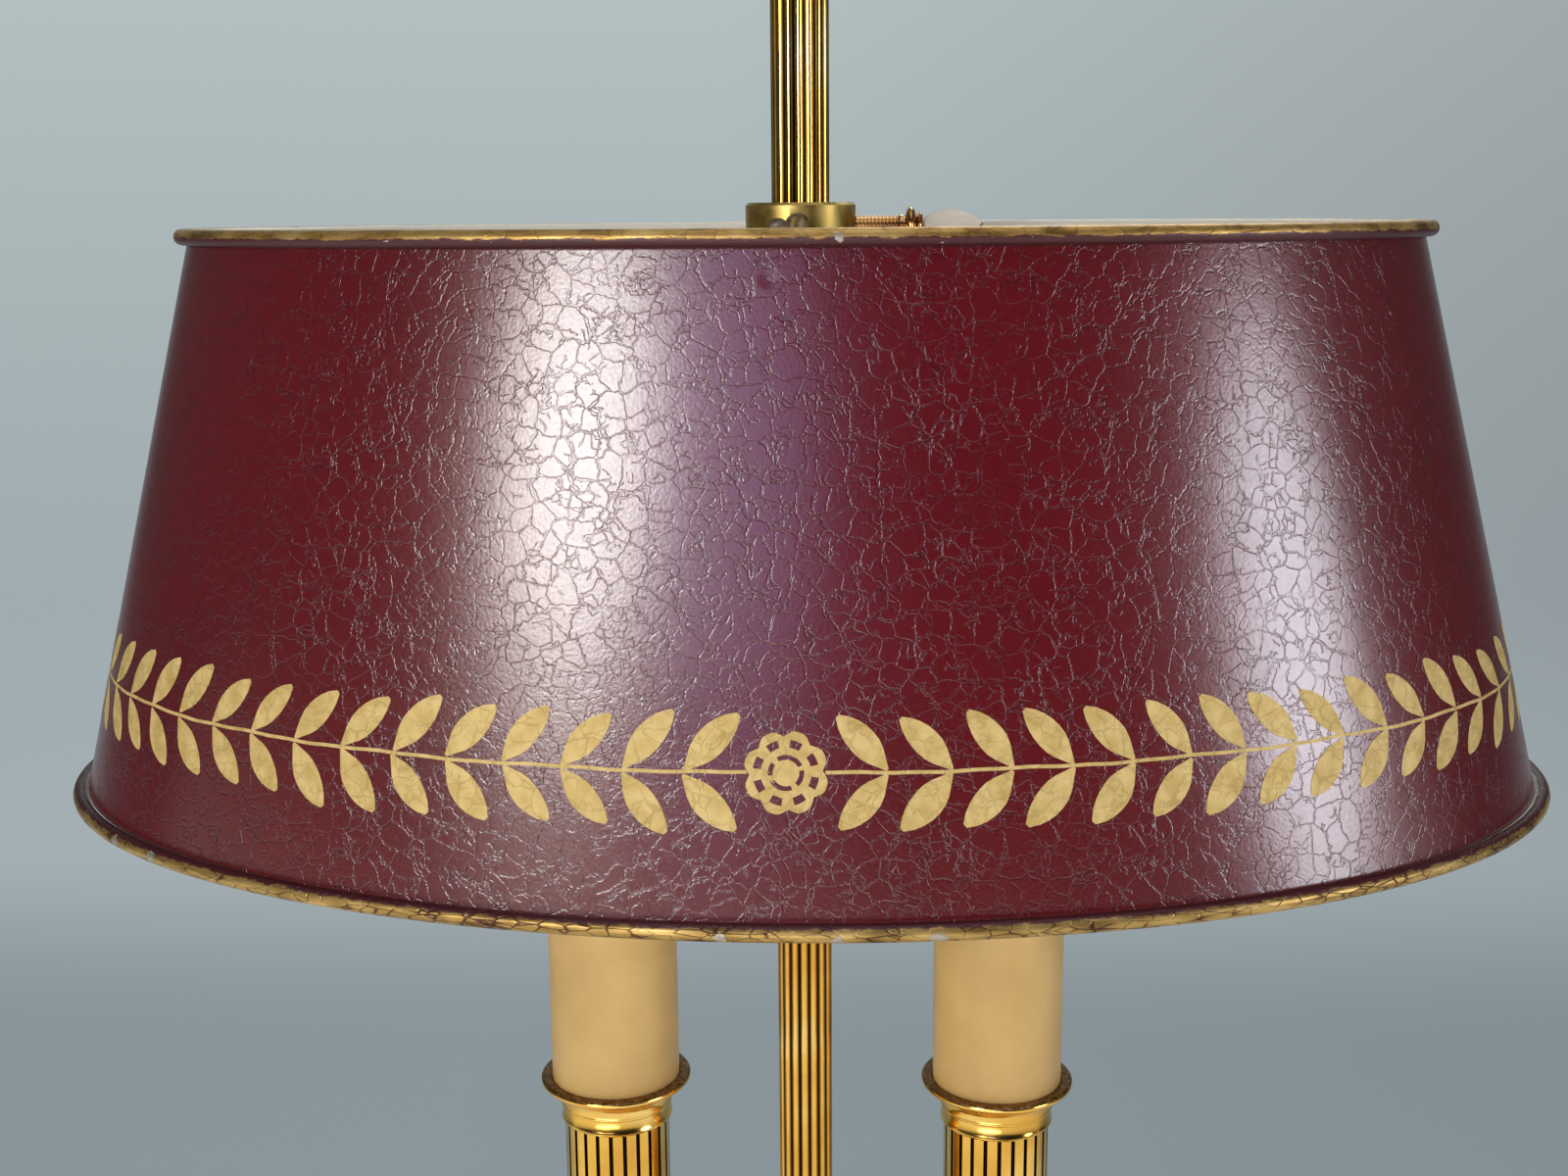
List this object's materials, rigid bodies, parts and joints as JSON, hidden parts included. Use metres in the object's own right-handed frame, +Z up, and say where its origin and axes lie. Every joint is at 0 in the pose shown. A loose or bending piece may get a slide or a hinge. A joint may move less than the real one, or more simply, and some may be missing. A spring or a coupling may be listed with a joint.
{
  "type": "bouillotte lamp",
  "caption": "Table lamp with a dish base, reeded stem, fluted candle columns and an oval lacquered shade that slides on the stem and locks with a thumbscrew.",
  "frame": {"origin": "on the table, at the stem's axis, under the felt pad", "axes": "+Z up along the stem, +X through the right-hand candle and the thumbscrew, -Y is the front"},
  "size_m": [0.3302, 0.2154, 0.6048],
  "materials": {
    "polished_brass": "polished, lacquered, lightly tarnished",
    "shade_lacquer": "satin burgundy crackle lacquer on sheet metal",
    "rim_gilt": "rubbed antique gold paint",
    "collar_brass": "satin, patinated",
    "sleeve_brass": "drawn, satin",
    "screw_brass": "turned and polished",
    "leaf_metal": "dull grey-brown patina",
    "ivory": "satin aged ivory",
    "steel": "zinc plated",
    "phenolic": "moulded, satin",
    "cap_metal": "nickel on brass, satin",
    "bulb_glass": "frosted",
    "iron": "as cast, blackened",
    "felt": "green wool felt"
  },
  "bodies": {
    "stand": {"arm_left": "polished_brass", "arm_right": "polished_brass", "arm_rosette_left": "polished_brass", "arm_rosette_right": "polished_brass", "base_dish": "polished_brass", "base_felt": "felt", "base_nut": "steel", "base_reeded_band": "polished_brass", "base_socle": "polished_brass", "base_washer": "steel", "base_weight": "iron", "bulb_cap_left": "cap_metal", "bulb_cap_right": "cap_metal", "bulb_glass_left": "bulb_glass", "bulb_glass_right": "bulb_glass", "cable_inlet": "phenolic", "candle_tube_left": "ivory", "candle_tube_right": "ivory", "capital_left": "polished_brass", "capital_right": "polished_brass", "centre_contact_left": "cap_metal", "centre_contact_right": "cap_metal", "column_foot_left": "polished_brass", "column_foot_right": "polished_brass", "column_left": "polished_brass", "column_right": "polished_brass", "finial": "polished_brass", "holder_bracket_left": "steel", "holder_bracket_right": "steel", "holder_nut_left": "steel", "holder_nut_right": "steel", "hub_body": "polished_brass", "hub_cap": "polished_brass", "hub_nut_lower": "steel", "hub_nut_upper": "steel", "lampholder_left": "phenolic", "lampholder_right": "phenolic", "lower_rod": "steel", "lower_stem": "polished_brass", "nipple_left": "steel", "nipple_right": "steel", "ring_handle": "polished_brass", "screw_shell_left": "cap_metal", "screw_shell_right": "cap_metal", "switch_body": "polished_brass", "switch_nut": "polished_brass", "upper_rod": "steel", "upper_stem": "polished_brass"},
    "sleeve": {"collar_sleeve": "sleeve_brass"},
    "shade": {"shade_skin": "shade_lacquer", "rim_wire_bottom": "rim_gilt", "rim_wire_top": "rim_gilt", "shade_collar": "collar_brass", "spider_arm_front": "collar_brass", "spider_arm_rear": "collar_brass", "spider_arm_left": "collar_brass", "spider_arm_right": "collar_brass"},
    "key": {"key_screw": "screw_brass", "key_wing": "leaf_metal"},
    "knob": {"switch_knob": "polished_brass"}
  },
  "joints": [
    {"name": "shade_slide", "type": "slide", "parent": "stand", "child": "sleeve", "axis": [0, 0, 1], "range_m": [-0.012, 0.085]},
    {"name": "shade_turn", "type": "hinge", "parent": "sleeve", "child": "shade", "pos_m": [0, 0, 0.45], "axis": [0, 0, 1], "continuous": true},
    {"name": "key_turn", "type": "hinge", "parent": "shade", "child": "key", "pos_m": [0, 0, 0.4511], "axis": [1, 0, 0], "range_deg": [0, 360]},
    {"name": "switch_turn", "type": "hinge", "parent": "stand", "child": "knob", "pos_m": [0, 0, 0.166], "axis": [0, -1, 0], "continuous": true}
  ]
}
